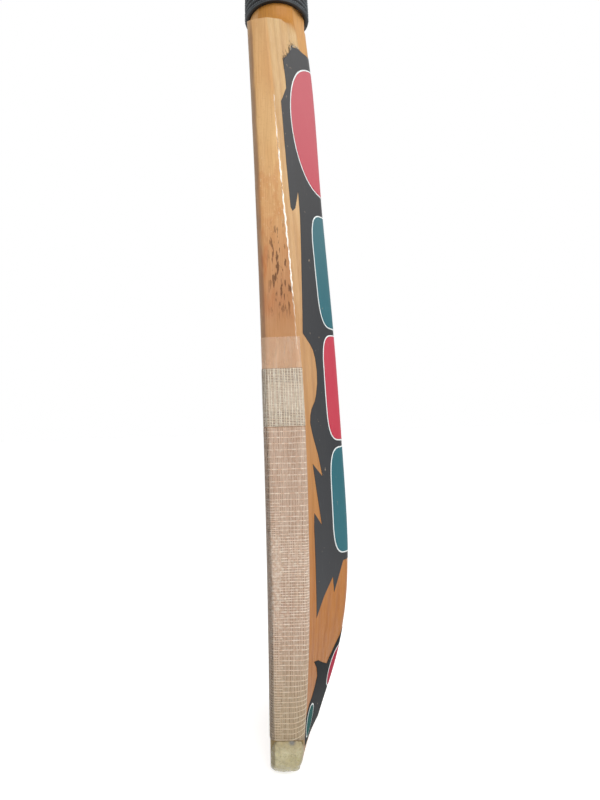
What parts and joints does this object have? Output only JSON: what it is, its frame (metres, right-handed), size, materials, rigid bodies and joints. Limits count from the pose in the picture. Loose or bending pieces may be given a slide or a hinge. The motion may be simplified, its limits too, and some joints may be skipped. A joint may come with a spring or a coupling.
{
  "type": "cricket bat",
  "caption": "Full-size cricket bat with a spliced cane handle, ribbed rubber grip, toe guard, taped edges and printed back labels.",
  "frame": {"origin": "on the ground under the toe, midway across the bat's width and about midway through its depth", "axes": "+X across the face towards the near edge, +Y from the face to the spine, +Z from the toe to the handle's end"},
  "size_m": [0.1092, 0.0683, 0.86],
  "materials": {
    "willow": "oiled, worn",
    "cane": "bare",
    "spring_rubber": "matt",
    "twine": "waxed",
    "grip_rubber": "ribbed, matt",
    "guard_rubber": "translucent, waxy",
    "clear_film": "clear, scuffed",
    "fibre_tape": "woven, varnished",
    "label_vinyl": "printed, semi-gloss"
  },
  "bodies": {
    "root": {"blade": "willow", "cane_front_1": "cane", "cane_front_2": "cane", "cane_front_3": "cane", "cane_front_4": "cane", "cane_middle_1": "cane", "cane_middle_2": "cane", "cane_middle_3": "cane", "cane_middle_4": "cane", "cane_back_1": "cane", "cane_back_2": "cane", "cane_back_3": "cane", "cane_back_4": "cane", "front_spring": "spring_rubber", "back_spring": "spring_rubber", "handle_binding": "twine", "grip": "grip_rubber", "toe_guard": "guard_rubber", "face_film": "clear_film", "lower_tape_near": "fibre_tape", "lower_tape_far": "fibre_tape", "upper_tape_near": "fibre_tape", "upper_tape_far": "fibre_tape", "back_label": "label_vinyl", "toe_label": "label_vinyl"}
  },
  "joints": []
}
